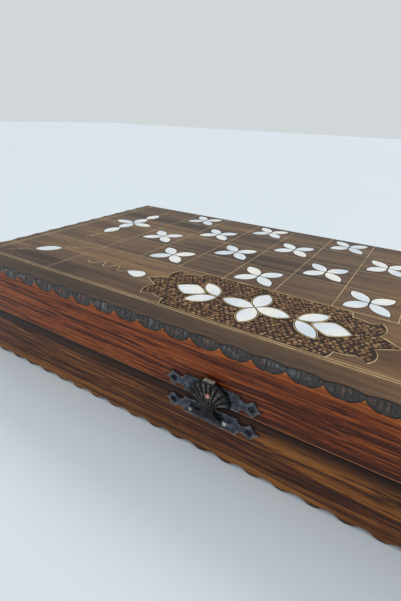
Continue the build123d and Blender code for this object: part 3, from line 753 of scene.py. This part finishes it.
columns = RIB_COLUMNS * RIBS + 1
top, bottom = [], []
for j in range(FAN_ROWS):
    along = j / (FAN_ROWS - 1)
    top_row, bottom_row = [], []
    for i in range(columns):
        across = -1 + 2 * i / (columns - 1)
        x, y = fan_point(across, along)
        groove_out = HASP_BACK + FAN_THICK + FAN_BELLY * math.sin(math.pi * along)
        rise = rib_rise(across, along)
        top_row.append((x, y, groove_out + rise, rise / swell(along)))
        bottom_row.append((x, y, HASP_BACK))
    top.append(top_row)
    bottom.append(bottom_row)
bm = bmesh.new()
add_slab(bm, top, bottom)
print("fan vertices:", len(bm.verts))

# %% Root
ROOT_OUT = 4.75
ROOT_FACE = 3.4
BARREL_HALF = 9.6
FLUTED_ABOVE = -8.5
FLUTES = 5
FLUTE, CREASE, CREASE_WIDTH = 0.18, 0.35, 0.10
ROOT_COLUMNS = 32
ROOT_PATH = [(-3.4, 3.3), (-4.6, 3.9), (-5.6, 4.35), (-6.6, 4.62), (-7.4, 4.72), (-8.0, ROOT_OUT),
             (-8.6, 4.66), (-9.1, 4.36), (-9.45, 3.9), (-9.6, 3.3)]
ROOT_HALF = [3.4, 4.0, 5.1, 6.8, 8.6] + 5 * [BARREL_HALF]
top, bottom = [], []
for (rise, out), half_width in zip(ROOT_PATH, ROOT_HALF):
    top_row, bottom_row = [], []
    fluted = rise > FLUTED_ABOVE
    for i in range(ROOT_COLUMNS + 1):
        across = -1 + 2 * i / ROOT_COLUMNS
        crease = CREASE * math.exp(-((across / CREASE_WIDTH) ** 2)) * fluted
        flute = FLUTE * math.cos(across * math.pi * FLUTES) * fluted
        proud = 0.6 + 1.2 * flute - 1.2 * crease
        top_row.append((half_width * across, rise, min(ROOT_OUT, out + flute) - crease, proud))
        bottom_row.append((half_width * across, rise, min(out - 0.6, ROOT_FACE)))
    top.append(top_row)
    bottom.append(bottom_row)
add_slab(bm, top, bottom)
print("with the root:", len(bm.verts))

# %% Barrel and lip
PIN_RISE, PIN_OUT = -8, 3.1
BARREL_SHOULDER = 9.35
BARREL_PROFILE = ((-BARREL_HALF, 0.95), (-BARREL_HALF, 1.35), (-BARREL_SHOULDER, 1.55),
                  (BARREL_SHOULDER, 1.55), (BARREL_HALF, 1.35), (BARREL_HALF, 0.95))
LIP_PROFILE = [(2.0, 16.3), (5.3, 16.5), (5.6, 16.8), (5.6, 17.6), (5.3, 18.0), (2.0, 18.0)]
LIP_ACROSS = (-3.9, -3.7, 3.7, 3.9)
rings = [[bm.verts.new(latch_place(x, PIN_RISE + radius * sine, PIN_OUT + radius * cosine))
          for x, radius in BARREL_PROFILE] for cosine, sine in circle(24)]
join_rings(bm, rings + rings[:1])
top = [[(x, rise, out) for x in LIP_ACROSS] for out, rise in LIP_PROFILE[3:]]
bottom = [[(x, rise, out) for x in LIP_ACROSS] for out, rise in reversed(LIP_PROFILE[:3])]
add_slab(bm, top, bottom)
hasp_mesh = mesh_from("hasp_fan", bm)
print("hasp faces:", len(hasp_mesh.polygons))

# %% Hole for the stud
STUD_RISE, STUD_HOLE = 8, 1.8
DRILL_REACH = 8.0


def solid_cylinder(name, x, rise, radius, low, high, sides=32):
    """Closed cylinder that stands out from the front of the box."""
    made = bmesh.new()
    ends = [[made.verts.new(latch_place(x + radius * cosine, rise + radius * sine, out))
             for cosine, sine in circle(sides)] for out in (low, high)]
    join_rings(made, ends)
    made.faces.new(ends[0])
    made.faces.new(ends[1])
    return mesh_from(name, made, smooth=False)


scene_objects = bpy.context.scene.collection.objects
blank = bpy.data.objects.new("hasp_blank", hasp_mesh)
drill_mesh = solid_cylinder("stud_drill", 0, STUD_RISE, STUD_HOLE, 0.0, DRILL_REACH)
drill = bpy.data.objects.new("stud_drill", drill_mesh)
scene_objects.link(blank)
scene_objects.link(drill)
cut = blank.modifiers.new("stud hole", "BOOLEAN")
cut.operation = "DIFFERENCE"
cut.object = drill
cut.solver = "EXACT"
bpy.context.view_layer.update()
drilled = bpy.data.meshes.new_from_object(blank.evaluated_get(bpy.context.evaluated_depsgraph_get()))
drilled.name = "hasp_fan_drilled"
bpy.data.objects.remove(blank)
bpy.data.objects.remove(drill)
drilled.materials.clear()
drilled.shade_smooth()
print("hasp after drilling:", len(drilled.polygons), "faces")

# %% [markdown]
# ### Worn rims and painted glints
# Hands and years leave the high edges of the latch bright. Each plate has a thin raised rim
# that follows its outline, and the lip and the ends of the pin carry painted highlights. They are
# small pieces of their own in a lighter metal, laid where the wear and the glints are.

# %% Plate rims
PLATE_HALF, PLATE_TIP = 5.9, 32.5
PLATE_STRAIGHT = (6.0, 12.0)
PLATE_ARCS = [((18.4, PLATE_HALF), (19.08, 3.66), (21.59, 2.6)), ((21.59, 2.6), (24.02, 3.25), (26.0, 5.31)),
              ((26.0, 5.31), (28.21, 3.66), (29.19, 2.01)), ((29.19, 2.01), (30.49, 0.77), (PLATE_TIP, 0.0))]
ARC_STEPS = 6
RIM_SECTION = ((0.02, 0.9), (0.06, 1.34), (0.30, 1.42), (0.62, 1.15), (0.5, 0.9))
LID_PLATE_RISE, BASE_PLATE_RISE = 8.0, -8.7


def plate_outline():
    """One plate's outline about its middle, clockwise from the top middle."""
    right_top = [(x, PLATE_HALF) for x in PLATE_STRAIGHT]
    right_top += [p for start, middle, end in PLATE_ARCS for p in arc_through(start, middle, end, ARC_STEPS)]
    right = right_top + [(PLATE_TIP, 0.0)] + [(x, -y) for x, y in reversed(right_top)]
    return [(0.0, PLATE_HALF)] + right + [(0.0, -PLATE_HALF)] + [(-x, y) for x, y in reversed(right)]


def rim_mesh(name, middle_rise):
    """Low bead with a pointed cross-section that follows the outline just inside its edge."""
    points = plate_outline()
    bm = bmesh.new()
    rings = []
    for k, (x, y) in enumerate(points):
        before, after = points[k - 1], points[(k + 1) % len(points)]
        along = Vector((after[0] - before[0], after[1] - before[1])).normalized()
        inward = Vector((along.y, -along.x))
        rings.append([bm.verts.new(latch_place(x + inward.x * a, y + middle_rise + inward.y * a, out))
                      for a, out in RIM_SECTION])
    join_rings(bm, rings + rings[:1])
    return mesh_from(name, bm, smooth=False)


print("plate outline points:", len(plate_outline()))

# %% Glints on the pin and the lip
GLINT_PLACES = ((-11.7, -7.6), (11.7, -7.6))
GLINT_RADIUS, GLINT_FOOT, GLINT_TOP = 1.25, 4.1, 5.0
DOME_SIDES, DOME_LEVELS = 20, 5
LIP_GLINT_ACROSS = (-3.5, 0.0, 3.5)
LIP_GLINT_OUT = (2.4, 3.8, 5.2)
LIP_GLINT_TOP, LIP_GLINT_FOOT = 18.05, 17.9


def dome_mesh(name, places, radius, low, high):
    """Low domes of the given radius, at each (across, rise)."""
    bm = bmesh.new()
    for x, rise in places:
        rings = []
        for j in range(DOME_LEVELS):
            a = math.pi / 2 * j / DOME_LEVELS
            reach = radius * math.cos(a)
            out = low + (high - low) * math.sin(a)
            rings.append([bm.verts.new(latch_place(x + reach * cosine, rise + reach * sine, out))
                          for cosine, sine in circle(DOME_SIDES)])
        summit = bm.verts.new(latch_place(x, rise, high))
        join_rings(bm, rings)
        for k, vert in enumerate(rings[-1]):
            bm.faces.new((vert, rings[-1][(k + 1) % DOME_SIDES], summit))
        bm.faces.new(list(reversed(rings[0])))
    return mesh_from(name, bm)


def lip_glint_mesh():
    """Thin pale slab on the top of the lip, a painted highlight."""
    bm = bmesh.new()
    faces = [[[(x, rise, out) for x in LIP_GLINT_ACROSS] for out in LIP_GLINT_OUT] for rise in (LIP_GLINT_TOP, LIP_GLINT_FOOT)]
    add_slab(bm, *faces)
    return mesh_from("lip_glint", bm, smooth=False)


glint_domes = dome_mesh("pin_glint_domes", GLINT_PLACES, GLINT_RADIUS, GLINT_FOOT, GLINT_TOP)
print("rivet faces:", len(glint_domes.polygons))

# %% Fit the latch
hasp_piece = add_piece("hasp_fan", drilled, cast_fan, "hasp")
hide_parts("hasp")
add_piece("lid_plate_rim", rim_mesh("lid_plate_rim", LID_PLATE_RISE), worn_edge, "lid")
add_piece("base_plate_rim", rim_mesh("base_plate_rim", BASE_PLATE_RISE), worn_edge, "base")
# Painted highlight: pale domes for the glints on the ends of the pin.
add_piece("pin_glint_domes", glint_domes, glint, "base")
# Painted highlight: a pale slab on the top of the lip.
add_piece("lip_glint", lip_glint_mesh(), glint, "hasp")
print("latch pieces fitted")

# %% [markdown]
# ## Carved edge
# A row of bean shaped beads runs along the front and both sides of each panel. The solid has
# the scooped seat of each bead. The bean in it is a closed strip whose cross-section runs from
# the arc on the face to the arc on the edge in a soft curve, with a few gouge marks across it.
# A strip per edge is made as one mesh, because the beads touch each other. The joints between
# beads drift a little, so the beads grow shorter from one end of an edge to the other.

# %% Bead profile
CARVING = {  # least and greatest drop, least and greatest inset, share of each nose, swell
    "lid": (3.0, 7.5, 0.6, 2.4, 0.0, 1.0),
    "base": (0.4, 3.3, 1.0, 6.0, 0.25, 0.5),
}
DRIFT = 2.8
SECTION_STEPS = 10
GOUGE_WIDTH = 0.030
SURFACE_GAP = 0.05
FACE_END, EDGE_END = 0.05, 0.10
BACK_IN, BACK_DOWN = 0.9, 1.4


def joints_of(length, count):
    """Where the beads meet along an edge."""
    return [length * k / count + DRIFT * math.sin(math.pi * k / count) for k in range(count + 1)]


def arc_rise(t, chord, sagitta):
    """Height over a chord of a circular arc, at t from 0 to 1 along it."""
    radius = (chord * chord / 4 + sagitta * sagitta) / (2 * sagitta)
    offset = (t - 0.5) * chord
    return math.sqrt(radius * radius - offset * offset) - (radius - sagitta)


def scoop(t, chord, low, high, nose):
    """How far a scooped line lies from the edge, with a nose at both ends."""
    if nose == 0:
        return low + arc_rise(t, chord, high - low)
    middle = (low + high) / 2
    if t < nose or t > 1 - nose:
        near = min(t, 1 - t)
        dip = arc_rise(0.5 - near / (2 * nose), 2 * nose * chord, middle - low)
        return middle - dip * (1 - near / nose)
    return middle + arc_rise((t - nose) / (1 - 2 * nose), (1 - 2 * nose) * chord, high - middle)


def bead_section(half, t, chord, marks):
    """Points (inwards, down, wear) of one closed cross-section, with marks as (place, depth)."""
    shallow, deep, narrow, wide, nose, swelling = CARVING[half]
    inset = scoop(t, chord, narrow, wide, nose)
    drop = scoop(t, chord, shallow, deep, nose)
    body = math.sin(math.pi * t)
    gouge = sum(depth * math.exp(-(((t - at) / GOUGE_WIDTH) ** 2)) for at, depth in marks)
    bulge = max(0.0, swelling * body ** 0.7 - 0.8 * gouge * body)
    section = []
    for k in range(SECTION_STEPS + 1):
        v = k / SECTION_STEPS
        flat_in, flat_down = inset * (1 - v), drop * v
        pull = 1 - 2.0 * v * (1 - v) * bulge
        sink = 0.55 * gouge * math.sin(math.pi * v) + 0.25 * (1 - body) ** 2
        proud = math.sin(math.pi * v) ** 1.4 * body ** 0.8 * max(0.0, 1 - 1.6 * gouge)
        section.append((flat_in * pull + sink, flat_down * pull + SURFACE_GAP, proud))
    section[0] = (inset + FACE_END, EDGE_END, 0.0)
    section[-1] = (EDGE_END, drop + EDGE_END, 0.0)
    return section + [(BACK_IN, drop + 0.5, 0.0), (inset + 1.0, BACK_DOWN, 0.0)]


middle_section = bead_section("lid", 0.5, 19.2, [])
print("middle of a bead:", [tuple(round(v, 2) for v in p) for p in middle_section[:3]])

# %% Bead strips
BEAD_STEPS = 33
BEAD_START, BEAD_SHARE = 0.012, 0.976
GOUGES = (0.26, 0.42, 0.57, 0.72, 0.86)
chance = random.Random(7)


def strip_mesh(name, half, length, count, to_world):
    """One edge of beads, with to_world turning (along, inwards, down) into a place in millimetres."""
    bm = bmesh.new()
    layer = bm.verts.layers.float.new("wear")
    rings = []
    joints = joints_of(length, count)
    for start, end in zip(joints, joints[1:]):
        chord = end - start
        marks = [(at + chance.uniform(-0.03, 0.03), chance.uniform(0.35, 0.75)) for at in GOUGES]
        for k in range(BEAD_STEPS + 1):
            t = BEAD_START + BEAD_SHARE * k / BEAD_STEPS
            ring = []
            for inwards, down, proud in bead_section(half, t, chord, marks):
                ring.append(bm.verts.new([MM * v for v in to_world(start + t * chord, inwards, down)]))
                ring[-1][layer] = proud
            rings.append(ring)
    join_rings(bm, rings)
    bm.faces.new(rings[0])
    bm.faces.new(list(reversed(rings[-1])))
    return mesh_from(name, bm)


def finish_carving():
    f = Finish("bead_carving_painted_light")
    proud = f.wear()
    patch = f.noise(f.scaled((150, 150, 150)), detail=3.0)
    rub_and_glint = f.noise(f.scaled((700, 700, 700)), detail=4.0, rough=0.75)
    # Painted shade: the bead is painted nearly black where it sinks away from its bulge.
    tone = f.mix(srgb(11, 9, 9), srgb(42, 29, 23), proud.step(0.15, 0.7))
    tone = f.mix(tone, srgb(104, 66, 48), 0.7 * proud * patch.step(0.50, 0.62))
    # Painted reflection: blue-grey patches on the bulge.
    tone = f.mix(tone, srgb(112, 118, 124), 0.7 * proud * (1.0 - patch.step(0.36, 0.46)))
    # Pale spots on the bulge, partly rubbed and partly painted highlight.
    tone = f.mix(tone, srgb(184, 158, 126), 0.75 * proud * rub_and_glint.step(0.57, 0.68))
    skin = f.bump(rub_and_glint, 0.0007, 0.9)
    return f.surface({"Base Color": tone, "Roughness": 0.24 + 0.25 * rub_and_glint, "Normal": skin,
                      "Coat Weight": 0.3, "Coat Roughness": 0.2})


carving = finish_carving()
EDGES = {
    "front": (2 * HALF_LENGTH, {"lid": 26, "base": 27}, lambda s, a: (-HALF_LENGTH + s, -HALF_DEPTH + a)),
    "left": (2 * HALF_DEPTH, {"lid": 13, "base": 13}, lambda s, a: (-HALF_LENGTH + a, HALF_DEPTH - s)),
    "right": (2 * HALF_DEPTH, {"lid": 13, "base": 13}, lambda s, a: (HALF_LENGTH - a, -HALF_DEPTH + s)),
}
for half in ("lid", "base"):
    for side, (length, counts, plan) in EDGES.items():
        def to_world(s, a, d, plan=plan, half=half):
            return (*plan(s, a), BOARD_HEIGHT - d if half == "lid" else d)
        name = f"{half}_{side}_beads"
        mesh = strip_mesh(name, half, length, counts[half], to_world)
        add_piece(name, mesh, carving, half)
        print(name, len(mesh.polygons), "faces")

# %% [markdown]
# ## Cartouche ground
# Behind the pearl of the front cartouche the wood is sunk and punched, so that it looks like
# cobbles: small rounded lumps with dark hollows between. The lumps are real geometry on a thin
# sheet that lies in the sunk ground, because they catch the light at this distance.

# %% Cartouche outline
BAND_Y = -72.35
TIP = (88.3, 0.0)
SHOULDER = (56.6, 23.9)
HORN = (67.0, 21.2)
LOBE_TOP = (74.2, 25.2)
WAIST = (75.3, 8.8)
QUARTER = [((54.4, 31.4), (56.0, 27.65), SHOULDER), (SHOULDER, (61.8, 23.7), HORN),
           (HORN, (70.6, 22.3), LOBE_TOP), (LOBE_TOP, (77.6, 17.6), WAIST)]
quarter = [p for arc in QUARTER for p in arc_through(*arc, 8)] + [WAIST]
right_end = quarter + [TIP] + [(x, -y) for x, y in reversed(quarter)]
outline = right_end + [(-x, y) for x, y in reversed(right_end)]
print("cartouche outline points:", len(outline))

# %% Pearl in the cartouche
MARGIN_PETAL = (22.5, 11.6)
FLOWER_REACH = 12.45
CORNER_LEAF, CORNER_X, CORNER_Y, CORNER_TURN = (21.7, 10.0), 36.6, 8.7, 43.7
END_LEAF, END_X = (22.6, 16.9), 49.7
LEAVES = []
for angle in (0, 90, 180, 270):
    turn = math.radians(angle)
    LEAVES.append((*MARGIN_PETAL, FLOWER_REACH * math.cos(turn), FLOWER_REACH * math.sin(turn), angle))
for s in (-1, 1):
    LEAVES += [(*CORNER_LEAF, s * CORNER_X, w * CORNER_Y, s * w * CORNER_TURN) for w in (-1, 1)]
END_LEAVES = [(*END_LEAF, s * END_X, 0.0, 0.0) for s in (-1, 1)]


def inside_outline(x, y):
    inside = False
    for (x0, y0), (x1, y1) in zip(outline, outline[1:] + outline[:1]):
        if (y0 > y) != (y1 > y) and x < (x1 - x0) * (y - y0) / (y1 - y0) + x0:
            inside = not inside
    return inside


def near_leaf(x, y, margin):
    for length, width, cx, cy, angle in LEAVES + END_LEAVES:
        turn = math.radians(angle)
        u = (x - cx) * math.cos(turn) + (y - cy) * math.sin(turn)
        v = -(x - cx) * math.sin(turn) + (y - cy) * math.cos(turn)
        reach = length / 2 + margin
        if abs(u) < reach and abs(v) < (width / 2 + margin) * (1 - (u / reach) ** 2) + 0.3:
            return True
    return False


print("leaves and flower petals:", len(LEAVES), "end leaves:", len(END_LEAVES))

# %% Cobbles
PITCH, ROW_SHARE = 3.5, 0.80
GROUND_HALF_LENGTH, GROUND_HALF_WIDTH = 90, 32
EDGE_CLEAR, LEAF_CLEAR = 1.2, 1.9
SUNK = 0.5
SHEET_RISE = 0.05
COBBLE_LONG, COBBLE_WIDE = 1.72, 1.25
COBBLE_SIDES = 8


def cobble_places(seed):
    """Jittered staggered grid inside the outline and clear of the pearl."""
    pick = random.Random(seed)
    places = []
    around = ((EDGE_CLEAR, 0), (-EDGE_CLEAR, 0), (0, EDGE_CLEAR), (0, -EDGE_CLEAR))
    for j in range(int(2 * GROUND_HALF_WIDTH / (PITCH * ROW_SHARE)) + 1):
        for i in range(int(2 * GROUND_HALF_LENGTH / PITCH) + 1):
            x = -GROUND_HALF_LENGTH + (i + 0.5 * (j % 2)) * PITCH + pick.uniform(-0.8, 0.8)
            y = -GROUND_HALF_WIDTH + j * PITCH * ROW_SHARE + pick.uniform(-0.65, 0.65)
            edge_clear = all(inside_outline(x + dx, y + dy) for dx, dy in around)
            if edge_clear and not near_leaf(x, y, LEAF_CLEAR):
                places.append((x, y, pick.uniform(0.70, 1.25), pick.uniform(-1.3, 1.3)))
    return places


def ground_mesh(name, upward, seed):
    """Thin sheet with a lump at every place; upward is 1 on the lid and -1 on the base."""
    bm = bmesh.new()
    layer = bm.verts.layers.float.new("wear")

    def vert(x, y, height, proud=0.0):
        z = BOARD_HEIGHT - SUNK + height if upward > 0 else SUNK - height
        made = bm.verts.new((MM * x, MM * (y + BAND_Y), MM * z))
        made[layer] = proud
        return made

    bm.faces.new([vert(x, y, SHEET_RISE) for x, y in outline])
    tint = random.Random(seed + 20)
    for x, y, size, turn in cobble_places(seed):
        rings = []
        shade = tint.uniform(0.45, 1.0)
        wobble = [tint.uniform(0.86, 1.14) for _ in range(COBBLE_SIDES)]
        for radius, height, proud in ((1.06, 0.03, 0.05), (0.90, 0.26, 0.6 * shade), (0.5, 0.40, shade)):
            ring = []
            for (cosine, sine), wobbled in zip(circle(COBBLE_SIDES), wobble):
                reach = size * radius * wobbled
                u, v = COBBLE_LONG * reach * cosine, COBBLE_WIDE * reach * sine
                ring.append(vert(x + u * math.cos(turn) - v * math.sin(turn),
                                 y + u * math.sin(turn) + v * math.cos(turn), height, proud))
            rings.append(ring)
        join_rings(bm, rings)
        bm.faces.new(rings[-1])
    return mesh_from(name, bm)


def finish_ground():
    f = Finish("punched_ground")
    proud = f.wear()
    mottle = f.noise(f.scaled((600, 600, 600)), detail=3.0)
    # Darker in the hollows and lighter on the lumps.
    tone = f.mix(srgb(44, 29, 21), srgb(118, 86, 56), proud.step(0.05, 0.75))
    # Painted highlight: the tops of some lumps are painted pale.
    tone = f.mix(tone, srgb(160, 130, 92), 0.55 * (proud * (0.6 + 0.8 * mottle)).step(0.62, 0.95))
    skin = f.bump(mottle, 0.0001, 0.6)
    return f.surface({"Base Color": tone, "Roughness": 0.5 + 0.2 * mottle, "Normal": skin,
                      "Specular IOR Level": WAX})


ground = finish_ground()
for half, upward, seed in (("lid", 1, 3), ("base", -1, 5)):
    mesh = ground_mesh(f"{half}_cartouche_ground", upward, seed)
    add_piece(f"{half}_cartouche_ground", mesh, ground, half)
    print(mesh.name, len(mesh.polygons), "faces")

# %% [markdown]
# ## Mastic round the pearl
# Each petal was set in black mastic, which shows as a fine dark line round it. The solids leave
# that gap open, so a dark sheet of the pocket's shape goes just below the surface. The petal
# stands through it, and only the line is seen. The petals in the squares, the flowers and long
# leaves of the side margins and the cartouche's slender petals have it, and no other pearl has.

# %% Pocket shapes
SQUARE, PETAL_START, MASTIC = 41.3, 1.0, 0.6
ROWS, COLUMNS = 4, 8
FIELD_PETAL = (19.8, 10.4)
FIELD_X, FIELD_Y = 165.2, -40.2
SIDE_X, SIDE_Y, SIDE_LEAF_REACH = 201.35, 42.4, 34.75
PETAL_STEPS = 12
MASTIC_DEPTH = 0.10


def leaf_points(length, width, x, y, angle):
    """Outline of a petal grown by the mastic line."""
    end, side = length / 2 + MASTIC, width / 2 + MASTIC
    half = arc_through((-end, 0), (0, side), (end, 0), PETAL_STEPS)
    turn = math.radians(angle)
    points = half + [(-px, -py) for px, py in half]
    return [(x + px * math.cos(turn) - py * math.sin(turn), y + px * math.sin(turn) + py * math.cos(turn))
            for px, py in points]


def flower_leaves(x, y, length, width, turn):
    """Four petals that spring from a point, the first at the given turn."""
    reach = PETAL_START + length / 2
    return [(length, width, x + reach * math.cos(math.radians(turn + a)),
             y + reach * math.sin(math.radians(turn + a)), turn + a) for a in (0, 90, 180, 270)]


def pockets(half):
    """Every pocket of one half."""
    leaves = []
    for row in range(ROWS):
        for column in range(COLUMNS):
            if (row + column) % 2 == (half == "lid"):
                middle = ((column + 0.5) * SQUARE - FIELD_X, FIELD_Y + (row + 0.5) * SQUARE)
                leaves += flower_leaves(*middle, *FIELD_PETAL, 45)
    for side in (-1, 1):
        leaves += flower_leaves(side * SIDE_X, SIDE_Y, *MARGIN_PETAL, 0)
        leaves += [(*MARGIN_PETAL, side * SIDE_X, SIDE_Y + way * SIDE_LEAF_REACH, 90) for way in (-1, 1)]
    return leaves + [(length, width, x, y + BAND_Y, angle) for length, width, x, y, angle in LEAVES]


print("pockets in the lid:", len(pockets("lid")))

# %% Mastic sheets
def finish_mastic():
    f = Finish("black_mastic")
    grain = f.noise(f.scaled((900, 900, 900)), detail=2.0)
    tone = f.mix(srgb(10, 10, 11), srgb(30, 28, 27), grain)
    return f.surface({"Base Color": tone, "Roughness": 0.6 + 0.2 * grain, "Specular IOR Level": 0.1})


mastic = finish_mastic()
for half in ("lid", "base"):
    bm = bmesh.new()
    level = BOARD_HEIGHT - MASTIC_DEPTH if half == "lid" else MASTIC_DEPTH
    for leaf in pockets(half):
        bm.faces.new([bm.verts.new((MM * x, MM * y, MM * level)) for x, y in leaf_points(*leaf)])
    mesh = bpy.data.meshes.new(f"{half}_mastic")
    bm.to_mesh(mesh)
    bm.free()
    add_piece(f"{half}_mastic", mesh, mastic, half)
print("mastic sheets:", len(mesh.polygons), "pockets each")

# %% [markdown]
# ## Finish
# The last cell prints the box of the solids, as it was measured when they were loaded.

# %% Solids' box
print("cad box", [[round(v, 5) for v in c] for c in cad_box])
